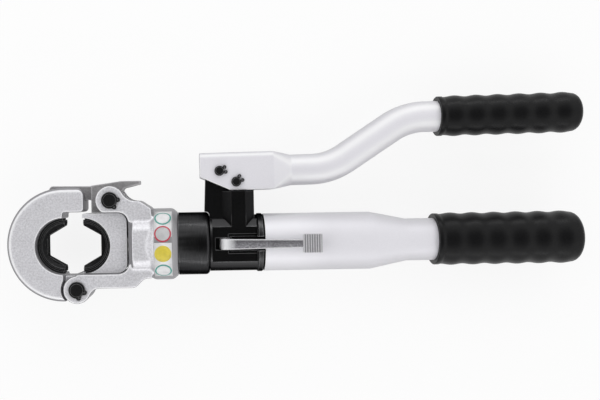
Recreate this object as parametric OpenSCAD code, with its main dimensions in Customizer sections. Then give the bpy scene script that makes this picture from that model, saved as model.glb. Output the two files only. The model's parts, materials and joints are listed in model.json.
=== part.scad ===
// Hand-pumped hydraulic crimping tool with a hinged hook head.
// The tool lies on its side. X runs along the ram from the crimp centre to the grips,
// Y points to the pump handle, Z points up out of the bench. Lengths are millimetres.

/* [Dies] */
// Radius of the half round die seats
seat_r = 21.4; // [20.5:0.1:22.5]
// Hexagon size across flats
hex_af = 27; // [20:0.5:28]
// Ram travel from open dies to closed hexagon
stroke = 14.3; // [12:0.1:15]
// Width of a die in its seat
die_w = 16; // [14:0.5:18]
// Width of the pressing profile
press_w = 10; // [8:0.5:12]

/* [Hook jaw] */
// Outer radius of the hook
jaw_r = 43.7; // [43:0.1:45.5]
// Rise of the hook's outer arc over the ram axis
jaw_rise = 1.2; // [0.5:0.1:2]
// Width of the hook
jaw_w = 31; // [28:0.5:34]
// Rounding of the hook's outer edges
jaw_edge_r = 4.5; // [2:0.5:6]
// Reach of the upper arm past the crimp centre
arm_reach = 16; // [15:0.1:17]
// Height of the arm's underside over the ram axis
arm_floor = 25.9; // [25.7:0.1:27]
// Width of the hinge lug
lug_w = 16; // [14:0.5:18]
// Radius of the hinge lug
lug_r = 10.5; // [9.5:0.1:10.6]
// Radius of the hinge bush
hook_bush_r = 6.6; // [6:0.1:7.5]

/* [Fork] */
// Width of the fork over both cheeks
fork_w = 36; // [33:0.5:40]
// Distance of the hook pin along the ram
hook_pin_along = 10.2; // [9.8:0.1:10.6]
// Drop of the hook pin under the ram axis
hook_pin_drop = 33.2; // [33:0.1:34]
// Distance of the latch pin along the ram
latch_pin_along = 36.2; // [35.5:0.1:37]
// Height of the latch pin over the ram axis
latch_pin_rise = 34.6; // [34.4:0.1:35.5]
// Diameter of the hook and latch pins
head_pin_d = 10; // [8:0.5:11]
// Radius of the cheeks round the hook pin
hook_boss_r = 10.7; // [10.3:0.1:11]
// Radius of the cheeks round the latch pin
latch_boss_r = 11.2; // [10.8:0.1:12]
// Height of the lower arm
lower_arm_h = 11.2; // [10:0.1:13]
// Height of the shoulder behind the latch
shoulder_h = 34; // [33:0.1:35]
// Place of the wall behind the die carrier
wall_x = 49.6; // [49.4:0.1:51]
// Radius of the neck
neck_r = 26; // [25.5:0.1:26.5]
// Width across the spanner flats of the neck
neck_flat_w = 47; // [46:0.1:48]
// Place of the collar's front
collar_x = 66; // [65:0.5:68]
// Length of the collar
collar_len = 22; // [20:0.5:24]
// Radius of the collar
collar_r = 27.8; // [26.5:0.1:29]
// Slope at the collar's rear edge
collar_fall = 3.4; // [2:0.1:4]

/* [Latch] */
// Radius of the latch hub
latch_hub_r = 9.4; // [9:0.1:9.6]
// Width of the latch finger
finger_w = 8.8; // [6:0.2:10]
// Reach of the finger past the crimp centre
finger_reach = 12; // [10:0.5:14]
// Height of the finger's top over the ram axis
finger_top = 46.3; // [45:0.1:47]
// Distance of the latch's front face along the ram
latch_front = 21; // [20.5:0.1:22]
// Distance of the thumb tab's end along the ram
tab_end = 58.8; // [57:0.1:61]
// Height of the thumb tab's top over the ram axis
tab_top = 49.4; // [48.5:0.1:50]
// Thickness of the thumb tab
tab_t = 2.6; // [2:0.1:4]

/* [Ram] */
// Width of the die carrier
carrier_w = 28; // [24:0.5:32]
// Height of the carrier over the ram axis
carrier_up = 24.8; // [24.2:0.1:25]
// Depth of the carrier under the ram axis
carrier_down = 20.9; // [20:0.1:21]
// Length of the carrier behind the die's centre
carrier_len = 34.2; // [32:0.1:34.4]
// Rounding of the carrier's rear corners
carrier_corner_r = 7; // [4:0.5:8]
// Radius of the ram rod
rod_r = 10; // [9:0.1:11]
// Radius of the cylinder bore
bore_r = 17; // [16.5:0.1:18]
// Length of the piston head
piston_len = 13.6; // [12:0.1:14]
// Wire diameter of the return spring
return_wire_d = 2.4; // [1.8:0.1:2.6]

/* [Cylinder] */
// Outer radius of the cylinder
cylinder_r = 24.3; // [23:0.1:25]
// Thread radius inside the collar
thread_r = 22.4; // [21.5:0.1:23]
// Length of the cylinder behind the collar
cylinder_len = 24; // [23:0.5:27]
// Rounding of the cylinder's rear edge
cylinder_edge_r = 3; // [2:0.1:3.5]
// Radius of the swivel spigot's bore
swivel_r = 13; // [12.6:0.1:14]
// Thickness of the cylinder's rear wall
cylinder_wall = 6; // [5.5:0.1:7]

/* [Pump block] */
// Radius of the block
block_r = 21.8; // [21.2:0.1:22.2]
// Length of the block between its front and its rim
block_len = 35.4; // [34.8:0.1:38]
// Length of the round front flange
flange_len = 1.6; // [1.2:0.1:2.5]
// Width across the block's flats
block_flat_w = 34; // [32:0.5:36]
// Radius of the rear rim
rim_r = 22.7; // [22.4:0.1:23.5]
// Length of the rear rim
rim_len = 6.3; // [5:0.1:7]
// Distance of the plunger axis behind the block's front
plunger_along = 21.9; // [21.5:0.1:23]
// Half width of the plunger boss
boss_half = 12.3; // [11.5:0.1:13]
// Half width of the plunger boss's front flat
boss_flat_half = 5.5; // [4:0.1:7]
// Height of the plunger boss over the ram axis
boss_top = 40; // [39:0.1:40.2]
// Width of the pivot lug
pivot_lug_w = 20; // [18:0.5:22]
// Radius of the pump plunger
plunger_r = 5; // [4:0.1:5.5]

/* [Main handle] */
// Outer radius of the main tube
tube_r = 22.3; // [21.8:0.1:22.5]
// Wall of the main tube
tube_wall = 2.5; // [2:0.1:3]
// Straight length of the wide part of the tube
tube_len = 82.5; // [75:0.5:90]
// Length of the tube's taper
taper_len = 28.5; // [20:0.5:35]
// Outer radius of the tube inside the grip
tube_end_r = 16.4; // [15.5:0.1:17]
// Gap between the taper's end and the grip
grip_gap = 21.5; // [15:0.5:25]
// Length of the main grip
main_grip_len = 112; // [105:1:120]
// Outer radius of the main grip
main_grip_r = 20.5; // [19.5:0.1:21.5]

/* [Pump handle] */
// Distance of the handle pivot behind the block's front
pivot_along = 7.9; // [7.7:0.1:8.2]
// Height of the handle pivot over the ram axis
pivot_rise = 55.7; // [55.5:0.1:56.5]
// Distance of the drive pin behind the pivot
drive_along = 12.6; // [12:0.1:13]
// Drop of the drive pin under the pivot
drive_drop = 8.6; // [8.2:0.1:9]
// Diameter of the handle pins
handle_pin_d = 6; // [5:0.5:6.5]
// Rest tilt of the pump handle in degrees
handle_tilt = 0.8; // [0:0.1:1]
// Height of the handle's box head
box_h = 29.4; // [28.5:0.1:30]
// Room between the pivot lug and the box head's walls
box_play = 2.3; // [1.5:0.1:3.5]
// Length of the box head
box_len = 56; // [54:0.5:60]
// Wall of the box head
box_wall = 3; // [2:0.1:3.4]
// Outer radius of the handle tube
lever_r = 12; // [11:0.1:12.5]
// Wall of the handle tube
lever_wall = 2.2; // [1.5:0.1:3]
// Length of the change from box to tube
neck_len = 15; // [10:0.5:18]
// Straight length before the first bend
lever_start = 16; // [10:0.5:20]
// Bend radius of the handle tube's centre line
bend_r = 50; // [40:1:60]
// Bend angle of the handle tube in degrees
bend_angle = 32.3; // [25:0.1:40]
// Straight length between the bends
lever_mid = 42.7; // [35:0.1:50]
// Straight length after the second bend up to the grip
lever_end = 10; // [5:0.5:15]
// Length of the handle grip
handle_grip_len = 110; // [100:1:115]
// Outer radius of the handle grip
handle_grip_r = 15.9; // [15:0.1:17]

/* [Grips] */
// Number of wave crests along a grip
grip_waves = 6; // [4:1:8]
// Depth of the waves
wave_depth = 1; // [0.4:0.1:1.5]
// Width of the rim at a grip's mouth
grip_rim = 4; // [3:0.5:6]
// Height of the rim at a grip's mouth over the waves' troughs
grip_rim_h = 0.5; // [0.4:0.1:1]
// Rounding of a grip's closed end
grip_end_r = 6; // [5:0.5:8]
// Thickness of a grip's closed end
grip_end_t = 7; // [4:0.5:8]
// Distance of the first crest from a grip's mouth
crest_lead = 13.8; // [12:0.1:16]
// Distance of the last crest from a grip's closed end
crest_tail = 12.4; // [11:0.1:14]

/* [Release lever] */
// Width of the release lever at its pivot
release_w = 8; // [6.5:0.1:8.2]
// Width of the release lever at its tip
release_tip_w = 5.6; // [5:0.1:6.4]
// Thickness of the release lever
release_t = 3.6; // [3:0.1:4]
// Distance of the lever's pivot behind the block's front
release_along = 11.3; // [11:0.1:11.6]
// Height of the lever's pivot over the ram axis, towards the viewer
release_rise = 12; // [11.5:0.1:12.5]
// Length of the lever behind its pivot
release_len = 72.8; // [65:0.1:80]
// Rise of the lever in degrees at rest
release_tilt = 3.5; // [3:0.1:4]
// Length of the thumb pad
pad_len = 14.2; // [12:0.1:18]
// Width of the thumb pad
pad_w = 14; // [11:0.1:16]
// Number of ridges on the thumb pad
pad_ridges = 8; // [5:1:10]
// Height of the ridges
ridge_h = 0.9; // [0.5:0.1:1.2]

/* [Valves] */
// Radius of the valve bores
valve_r = 3; // [2.8:0.1:3.2]
// Radius of the oil ways
oil_r = 1.5; // [1:0.1:1.7]
// Radius of the valve balls
ball_r = 2.5; // [2.2:0.1:2.6]
// Wire diameter of the valve springs
valve_wire_d = 0.8; // [0.5:0.1:1]

/* [Fits] */
// Gap between pieces that move past each other
part_gap = 0.3; // [0.2:0.05:0.4]
// Radial gap of a pin or rod in its bore
running_gap = 0.05; // [0.03:0.01:0.08]
// Radial gap of pieces that are pressed or screwed together
seat_gap = 0.02; // [0.01:0.01:0.03]
// Half the gap that is left between closed dies
parting_gap = 0.15; // [0.1:0.05:0.2]

/* [Hidden] */
$fn = 64;
// Overrun of every cut
overrun = 2;
// Sides of a spring's wire and rings in one turn
coil_sides = 6;
coil_rings = 8;
// Points along one wave of a grip
wave_steps = 10;

// Stations along the ram axis
hook_pin_x = hook_pin_along;
hook_pin_y = -hook_pin_drop;
latch_pin_x = latch_pin_along;
latch_pin_y = latch_pin_rise;
head_pin_r = head_pin_d / 2;
collar_end = collar_x + collar_len;
cylinder_end = collar_end + cylinder_len;
cylinder_floor = cylinder_end - cylinder_wall;
block_x = cylinder_end + part_gap;
flange_end = block_x + flange_len;
rim_x = block_x + block_len;
rim_end = rim_x + rim_len;
tube_taper_x = rim_end + tube_len;
tube_narrow_x = tube_taper_x + taper_len;
main_grip_x = tube_narrow_x + grip_gap;
main_grip_end = main_grip_x + main_grip_len;
main_tube_end = main_grip_end - grip_end_t;

// Dies: the sides step in from the seat to the pressing profile
die_r = seat_r - seat_gap;
hex_corner_r = hex_af / 2 / cos(30);
die_shelf = 3.8;
die_taper = 2.6;
die_groove = 2.6;
die_groove_w = 0.9;
die_groove_depth = 0.8;
die_notch = 1.4;
ball_tip_r = 1.5;
ball_tip_out = 0.7;
ball_body_r = 2.5;
ball_body_len = 9;
moving_ball_turn = 35;

// Hook
boss_clearance = 1.6;
relief_r = hook_boss_r + boss_clearance;
arm_top = jaw_rise + jaw_r;
jaw_low = jaw_rise - jaw_r;
toe_len = 2.5;
lug_root = 6;
arm_corner_r = 3;
arm_nose_r = 7;
slot_floor = 35.2;
slot_spare = 1.5;
slot_end_x = -finger_reach - slot_spare;
slot_floor_r = norm([arm_reach - hook_pin_x, slot_floor - hook_pin_y]);

// Fork
fork_slot_w = lug_w + 2 * part_gap;
arm_top_y = -carrier_down - part_gap;
arm_low_y = arm_top_y - lower_arm_h;
window_top = carrier_up + part_gap;
window_corner_r = carrier_corner_r + part_gap;
lug_space = 0.6;
hook_slot_end = hook_pin_x + lug_r + lug_space;
hook_fillet_r = 8;
hook_fillet_y = arm_low_y - hook_fillet_r;
hook_fillet_x = hook_pin_x
    + sqrt(pow(hook_boss_r + hook_fillet_r, 2) - pow(hook_fillet_y - hook_pin_y, 2));
latch_fillet_r = 12;
latch_fillet_y = shoulder_h + latch_fillet_r;
latch_fillet_x = latch_pin_x
    + sqrt(pow(latch_boss_r + latch_fillet_r, 2) - pow(latch_fillet_y - latch_pin_y, 2));
shoulder_flat = 2.4;
shoulder_fall = 6;
heel_len = 11.2;
heel_rise = 7;
heel_slope = 45;
heel_x = collar_x - heel_len;
heel_top_x = heel_x + heel_rise / tan(heel_slope);
heel_top_y = arm_low_y + heel_rise;
heel_round_r = 4;
heel_hollow_r = 6;
heel_round_t = heel_round_r * tan(heel_slope / 2);
heel_hollow_t = heel_hollow_r * tan(heel_slope / 2);
latch_slot_len = 18;
neck_step = 3.1;
window_bevel = 4.2;
neck_x = wall_x + neck_step;
collar_lead = 3;
collar_chamfer = 3.5;
collar_fall_len = 4.4;
rod_bush_wall = 2.5;
rod_bush_r = rod_r + running_gap + rod_bush_wall;
rod_bush_len = 7;
spring_seat_x = wall_x + rod_bush_len;
spring_room_r = 15.5;

// Retaining rings, with shares of the shaft's radius
ring_outer_share = 1.27;
ring_groove_share = 0.94;
ring_opening_share = 0.42;
ring_hole_r = 0.62;
head_ear_r = 1.9;
head_ear_out = 1.2;
head_ear_angle = 30;
handle_ear_r = 1.5;
handle_ear_out = 1.8;
handle_ear_angle = 23;
ring_t = 1.1;
pin_end_t = 1.2;
hook_ring_turn = -48;
latch_ring_turn = -26;
pivot_ring_turn = 12;
drive_ring_turn = 36;

// Latch
latch_w = lug_w - 2 * part_gap;
latch_low = latch_pin_y - latch_hub_r;
finger_r = slot_floor_r + part_gap;
finger_fall = 0.5;
finger_nose = 3;
tab_root_len = 10.3;
tab_root_drop = 5.6;
tab_rise_len = 8.3;
latch_top_fall = 3.2;
hub_pocket_r = 8.2;
hub_pocket_depth = 4.6;
latch_coil_r = 6.8;
latch_wire_d = 1.3;
latch_turns = 2;

// Ram
carrier_front = stroke + parting_gap;
carrier_back = stroke + carrier_len;
carrier_nose_r = 1.5;
rod_socket = 4;
rod_front = carrier_back - rod_socket;
piston_end = cylinder_floor - part_gap;
piston_front = piston_end - piston_len;
piston_lead = 5;
seal_front = piston_front + piston_lead;
seal_depth = 3.4;
seal_len = 3;
backup_len = 1.5;
screw_head_r = 6.5;
screw_head_len = 4;
screw_r = 4;
screw_len = 26;
screw_hex_af = 5;
screw_hex_depth = 2.5;
screw_sink = 1.2;
screw_front = stroke + seat_r + screw_sink;
screw_end = screw_front + screw_len;
return_coil_gap = 1.6;
return_coil_r = rod_r + return_coil_gap + return_wire_d / 2;
return_turns = 6;

// Swivel of the head on the pump block
spigot_r = swivel_r - running_gap;
spigot_front = cylinder_floor + part_gap;
swivel_wire_r = 0.8;
swivel_wire_gap = 0.1;
swivel_ring_back = 1.9;
swivel_ring_x = cylinder_end - swivel_ring_back;
swivel_seal_r = 0.75;
swivel_seal_in = 1.6;
swivel_seal_x = spigot_front + swivel_seal_in;

// Pump block
flat_half = block_flat_w / 2;
pivot_x = block_x + pivot_along;
pivot_y = pivot_rise;
plunger_x = block_x + plunger_along;
lug_half = pivot_lug_w / 2;
facet_low = 12.9;
facet_top = facet_low + flat_half - lug_half;
pivot_lug_r = 10.5;
lug_lead = 11.8;
lug_front = pivot_x - lug_lead;
lug_rear_len = 7;
lug_rear = pivot_x + lug_rear_len;
foot_gap = 0.3;
foot_rise = 1;
foot_x = cylinder_end - cylinder_edge_r;
foot_y = cylinder_r - cylinder_edge_r;
foot_low = foot_y + foot_rise;
boss_side_half = 9.6;
boss_step = 0.9;
handle_pin_r = handle_pin_d / 2;
pivot_bush_wall = 1.5;
pivot_bush_r = handle_pin_r + running_gap + pivot_bush_wall;
rim_edge = 1.6;
rear_fit = 0.08;
tube_bore_r = tube_r - tube_wall;
spigot_rear_r = tube_bore_r - rear_fit;
spigot_step = 10;
spigot_rear_end = rim_end + spigot_step;
nose_r = 13;
nose_len = 10;
nose_end = spigot_rear_end + nose_len;
tube_seal_in = 5;
tube_seal_x = rim_end + tube_seal_in;
tube_seal_r = 1.1;
gland_wall = 3;
gland_r = plunger_r + gland_wall;
gland_len = 8;
plunger_seal_len = 3;
gland_floor = boss_top - gland_len - plunger_seal_len;
plunger_floor = 5;

// Oil reservoir
bladder_wall = 1.5;
bladder_r = 18.4;
bladder_len = 56;
bladder_neck = 8;
bladder_shoulder = 6;
bladder_dome = 8;
bladder_end = nose_end + bladder_len;
bladder_neck_r = nose_r + seat_gap;
clip_t = 1.2;
clip_w = 4;
clip_in = 2;
plug_len = 8;

// Pump handle
box_lead = 15;
box_w = pivot_lug_w + 2 * (box_play + box_wall);
box_front = pivot_x - box_lead;
box_end = box_front + box_len;
box_corner_r = 5;
box_foot_r = 1.2;
axis_offset = 0.5;
handle_axis_y = pivot_y - axis_offset;
box_top = handle_axis_y + box_h / 2;
box_low = handle_axis_y - box_h / 2;
slant_rise = 10.8;
slant_len = 23.6;
lever_x = box_end + neck_len;
bend_x = lever_x + lever_start;
bend_rise = bend_r * (1 - cos(bend_angle));
bend_run = bend_r * sin(bend_angle);
slope_x = bend_x + bend_run;
slope_y = handle_axis_y + bend_rise;
crest_x = slope_x + lever_mid * cos(bend_angle);
crest_y = slope_y + lever_mid * sin(bend_angle);
grip_axis_y = crest_y + bend_rise;
level_x = crest_x + bend_run;
handle_grip_x = level_x + lever_end;
handle_grip_end = handle_grip_x + handle_grip_len;
handle_tube_end = handle_grip_end - grip_end_t;
blend_t = 0.5;
bend_lap = 0.3;

// Plunger and its drive pin
drive_x = pivot_x + drive_along;
drive_y = pivot_y - drive_drop;
drive_rest_y = pivot_y + drive_along * sin(handle_tilt) - drive_drop * cos(handle_tilt);
head_half = plunger_x - lug_rear - part_gap;
head_h = 12;
head_w = 18;
eye_play_y = 0.45;
eye_play_x = 1.8;
eye_corner_r = 1;
plunger_bottom = 6;

// Release lever
release_x = block_x + release_along;
release_floor = tube_r + part_gap;
bar_rise = release_floor - release_rise;
heel_r = 4;
heel_half = 2.6;
lever_bend_r = 2 * heel_half;
heel_space = 0.8;
release_pin_r = 1.5;
release_pin_half = 10;
pocket_half = release_w / 2 + 2 * part_gap;
pocket_lead = 7.4;
pocket_front = release_x - pocket_lead;
pocket_rear = release_x + heel_r + heel_space;
pocket_floor = release_rise - heel_r - heel_space;
slot_lead = 12.2;
slot_wide_half = 7.4;
slot_half = 5.4;
slot_wide_depth = 1.2;
slot_depth = 3.4;
slot_bottom = flat_half - slot_depth;
nub_along = 10;
valve_pin_x = release_x + nub_along;
nub_r = 2.2;
nub_rise = 2.1;
nub_low = slot_bottom + nub_rise;
ridge_share = 0.55;

// Valves in the block
suction_y = 8;
delivery_y = 7;
relief_y = -8;
relief_bore_r = 3.5;
valve_coil_r = 1.7;
relief_coil_r = 2.2;
ball_seat = sqrt(pow(ball_r, 2) - pow(oil_r, 2)) + seat_gap;
valve_wire_r = valve_wire_d / 2;
coil_reach = ball_r + valve_wire_r + seat_gap;
coil_seat = sqrt(pow(coil_reach, 2) - pow(valve_coil_r, 2)) - valve_wire_r;
relief_coil_seat = sqrt(pow(coil_reach, 2) - pow(relief_coil_r, 2)) - valve_wire_r;
suction_back = 4;
suction_seat_x = rim_x - suction_back;
delivery_along = 10.7;
delivery_seat_x = block_x + delivery_along;
relief_along = 16;
relief_seat_x = block_x + relief_along;
valve_spring_len = 8;
relief_spring_len = 22;
valve_turns = 4;
relief_turns = 8;
valve_screw_len = 5;
cage_len = 8;
filter_out = 10;
filter_wall = 1;
suction_ball_x = suction_seat_x + ball_seat;
suction_cage_x = suction_ball_x + coil_seat + valve_spring_len;
delivery_ball_x = delivery_seat_x - ball_seat;
delivery_screw_x = delivery_ball_x - coil_seat - valve_spring_len;
relief_ball_x = relief_seat_x + ball_seat;
relief_screw_x = relief_ball_x + relief_coil_seat + relief_spring_len;
release_pin_lift = nub_along * sin(release_tilt);
valve_pin_r = 1.4;
valve_pin_top = nub_low + release_pin_lift - part_gap;
valve_pin_low = ball_r + seat_gap;
bush_low = 5;
valve_depth = 6.5;
release_coil_len = valve_depth - coil_seat - seat_gap;

// Round rod along the ram axis
module rod_x(x0, x1, r) translate([x0, 0, 0]) rotate([0, 90, 0]) cylinder(h = x1 - x0, r = r);

// Round tube along the ram axis
module tube_x(x0, x1, r_out, r_in) difference() {
    rod_x(x0, x1, r_out);
    rod_x(x0 - overrun, x1 + overrun, r_in);
}

// Outline given as (Y, Z), drawn out along the ram axis
module bar_x(x0, x1) translate([x0, 0, 0]) rotate([90, 0, 90])
    linear_extrude(height = x1 - x0) children();

// Section given as (radius, station), turned round the ram axis
module turn_x() rotate([0, 90, 0]) rotate_extrude() children();

// Outline given as (X, Y), drawn out evenly to both sides
module slab(w) linear_extrude(height = w, center = true) children();

// Round hole or pin across the tool
module pin_z(x, y, r, w) translate([x, y, 0]) cylinder(h = w, r = r, center = true);

// Round hole or pin along Y
module rod_y(x, y0, y1, r) translate([x, y0, 0]) rotate([-90, 0, 0]) cylinder(h = y1 - y0, r = r);

// Rectangle with one radius at its left corners and one at its right corners
module round_rect(x0, y0, x1, y1, left_r, right_r) {
    translate([x0 + left_r, y0]) square([x1 - x0 - left_r - right_r, y1 - y0]);
    translate([x0, y0 + left_r]) square([x1 - x0 - right_r, y1 - y0 - 2 * left_r]);
    translate([x0 + left_r, y0 + right_r]) square([x1 - x0 - left_r, y1 - y0 - 2 * right_r]);
    for (y = [y0 + left_r, y1 - left_r]) translate([x0 + left_r, y]) circle(r = left_r);
    for (y = [y0 + right_r, y1 - right_r]) translate([x1 - right_r, y]) circle(r = right_r);
}

// Coil spring that stands on Z = 0, as one swept tube
module coil(r, wire_r, length, turns) {
    rings = coil_rings * turns;
    points = [
        for (i = [0 : rings]) for (s = [0 : coil_sides - 1])
            let (a = 360 * i / coil_rings, b = 360 * s / coil_sides, q = r + wire_r * cos(b))
            [q * cos(a), q * sin(a), wire_r + (length - 2 * wire_r) * i / rings + wire_r * sin(b)]
    ];
    sides = [
        for (i = [0 : rings - 1]) for (s = [0 : coil_sides - 1])
            let (p = i * coil_sides + s, q = i * coil_sides + (s + 1) % coil_sides)
            each [[p, q, q + coil_sides], [p, q + coil_sides, p + coil_sides]]
    ];
    last = rings * coil_sides;
    caps = [
        for (s = [1 : coil_sides - 2]) each [[0, s + 1, s], [last, last + s, last + s + 1]]
    ];
    polyhedron(points = points, faces = concat(sides, caps));
}

// Coil spring along the ram axis
module coil_x(x, y, r, wire_r, length, turns) translate([x, y, 0]) rotate([0, 90, 0])
    coil(r, wire_r, length, turns);

// Shaft with a groove for a retaining ring at each end
module grooved_pin(r, w) {
    cylinder(h = w, r = r, center = true);
    cylinder(h = w + 2 * ring_t, r = r * ring_groove_share, center = true);
    for (s = [-1, 1]) translate([0, 0, s * (w + 2 * ring_t + pin_end_t) / 2])
        cylinder(h = pin_end_t, r = r, center = true);
}

// Retaining ring with its two plier eyes, open towards +X
module ring_2d(r, ear_r, ear_out, angle) difference() {
    union() {
        circle(r = r * ring_outer_share);
        for (s = [-1, 1]) rotate(s * angle) translate([r + ear_out, 0]) circle(r = ear_r);
    }
    circle(r = r * ring_groove_share + seat_gap);
    translate([0, -r * ring_opening_share / 2])
        square([r + ear_out + ear_r, r * ring_opening_share]);
    for (s = [-1, 1]) rotate(s * angle) translate([r + ear_out, 0]) circle(r = ring_hole_r);
}

// One retaining ring, drawn as a child, at both ends of a shaft
module ring_pair(w, turn) for (s = [-1, 1])
    translate([0, 0, s * (w + ring_t) / 2]) rotate([0, 0, turn])
        slab(ring_t - 2 * seat_gap) children();

module head_ring_2d() ring_2d(head_pin_r, head_ear_r, head_ear_out, head_ear_angle);
module handle_ring_2d() ring_2d(handle_pin_r, handle_ear_r, handle_ear_out, handle_ear_angle);

module at_hook_pin() translate([hook_pin_x, hook_pin_y, 0]) children();
module at_latch_pin() translate([latch_pin_x, latch_pin_y, 0]) children();
module at_pivot() translate([pivot_x, pivot_y, 0]) children();

// Die pair

// Section of a die: wide in the seat, narrow at the pressing profile, grooved near its rim
module die_section() {
    shelf_r = die_r - die_shelf;
    slope_r = shelf_r - die_taper;
    groove_in = die_r - die_groove;
    groove_out = groove_in + die_groove_w;
    half = die_w / 2;
    deep = half - die_groove_depth;
    side = [
        [slope_r, press_w / 2], [shelf_r, half], [groove_in, half], [groove_in, deep],
        [groove_out, deep], [groove_out, half], [die_r, half]
    ];
    below = [for (p = side) [p[0], -p[1]]];
    above = [for (i = [len(side) - 1 : -1 : 0]) side[i]];
    polygon(concat([[0, -press_w / 2]], below, above, [[0, press_w / 2]]));
}

// Left half of a die pair, with the dimple of its ball plunger turned from the apex
module half_die(turn) difference() {
    rotate([0, 0, 90]) rotate_extrude(angle = 180) die_section();
    rotate([0, 0, 30]) cylinder(h = die_w + overrun, r = hex_corner_r, center = true, $fn = 6);
    translate([-parting_gap, -jaw_r, -die_w]) cube([jaw_r, 2 * jaw_r, 2 * die_w]);
    for (s = [-1, 1]) translate([0, s * die_r, 0])
        cube([2 * die_notch, 2 * die_notch, die_w + overrun], center = true);
    rotate([0, 0, turn]) translate([-seat_r - ball_tip_r + ball_tip_out, 0, 0])
        sphere(r = ball_tip_r + running_gap);
}

// Ball plunger that holds a die, pointing to +X from the seat's apex at -X
module ball_plunger(turn) rotate([0, 0, turn]) union() {
    rod_x(-seat_r - ball_body_len, -seat_r - ball_tip_r + ball_tip_out, ball_body_r - seat_gap);
    translate([-seat_r - ball_tip_r + ball_tip_out, 0, 0]) sphere(r = ball_tip_r);
}

module ball_plunger_bore(turn) rotate([0, 0, turn])
    rod_x(-seat_r - ball_body_len, -seat_r + overrun, ball_body_r);

module on_ram() translate([stroke, 0, 0]) mirror([1, 0, 0]) children();

module fixed_die() color("#1d1d20") half_die(0);
module moving_die() color("#1d1d20") on_ram() half_die(-moving_ball_turn);
module fixed_die_plunger() color("#8c8f94") ball_plunger(0);
module moving_die_plunger() color("#8c8f94") on_ram() ball_plunger(-moving_ball_turn);

// Hook

// Disc with rounded edges that the hook is cut from
module rounded_disc() translate([0, jaw_rise, 0]) rotate_extrude() {
    translate([0, -jaw_w / 2]) square([jaw_r - jaw_edge_r, jaw_w]);
    translate([0, -jaw_w / 2 + jaw_edge_r]) square([jaw_r, jaw_w - 2 * jaw_edge_r]);
    for (s = [-1, 1]) translate([jaw_r - jaw_edge_r, s * (jaw_w / 2 - jaw_edge_r)])
        circle(r = jaw_edge_r);
}

// Cross section of the arm, rounded along its back
module arm_section() {
    h = arm_top - arm_floor;
    translate([arm_floor, -jaw_w / 2]) square([h - jaw_edge_r, jaw_w]);
    translate([arm_floor, -jaw_w / 2 + jaw_edge_r]) square([h, jaw_w - 2 * jaw_edge_r]);
    for (s = [-1, 1]) translate([arm_top - jaw_edge_r, s * (jaw_w / 2 - jaw_edge_r)])
        circle(r = jaw_edge_r);
}

// Side view of the arm: its end is rounder at the back than at the window
module arm_2d() intersection() {
    round_rect(-jaw_r, arm_floor, arm_reach, arm_top, arm_corner_r, arm_corner_r);
    round_rect(-jaw_r, -arm_top, arm_reach, arm_top, arm_nose_r, arm_nose_r);
}

// The C of the hook, cut clear of the fork's cheek and of the ram's half
module hook_2d() difference() {
    translate([-jaw_r, jaw_low]) square([jaw_r, arm_top - jaw_low]);
    circle(r = seat_r);
    translate([hook_pin_x, hook_pin_y]) circle(r = relief_r);
    translate([-parting_gap, hook_pin_y]) square([jaw_r, arm_floor - hook_pin_y]);
}

module toe_2d() difference() {
    translate([-overrun, jaw_low]) square([toe_len + overrun, hook_pin_y - jaw_low]);
    translate([hook_pin_x, hook_pin_y]) circle(r = relief_r);
}

module hook_lug_2d() {
    translate([hook_pin_x, hook_pin_y]) circle(r = lug_r);
    polygon([
        [-lug_root, hook_pin_y + lug_r], [hook_pin_x, hook_pin_y + lug_r],
        [hook_pin_x, hook_pin_y - lug_r],
        [toe_len, jaw_rise - sqrt(pow(jaw_r, 2) - pow(toe_len, 2)) + jaw_edge_r],
        [-lug_root, jaw_low + jaw_edge_r]
    ]);
}

// Slot for the latch finger, with a floor round the hook's own hinge
module finger_slot_2d() difference() {
    translate([slot_end_x, 0]) square([arm_reach - slot_end_x + overrun, arm_top + overrun]);
    translate([hook_pin_x, hook_pin_y]) circle(r = slot_floor_r);
}

module hook_jaw() color("#b9babd") difference() {
    union() {
        intersection() {
            slab(jaw_w + overrun) {
                hook_2d();
                toe_2d();
            }
            rounded_disc();
        }
        intersection() {
            bar_x(0, arm_reach) arm_section();
            slab(jaw_w + overrun) arm_2d();
        }
        slab(lug_w) hook_lug_2d();
    }
    pin_z(hook_pin_x, hook_pin_y, hook_bush_r, jaw_w + overrun);
    slab(finger_w + 2 * part_gap) finger_slot_2d();
    ball_plunger_bore(0);
}

module hook_bush() color("#b08d57") at_hook_pin() difference() {
    cylinder(h = lug_w, r = hook_bush_r - seat_gap, center = true);
    cylinder(h = lug_w + overrun, r = head_pin_r + running_gap, center = true);
}

// Fork

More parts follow.
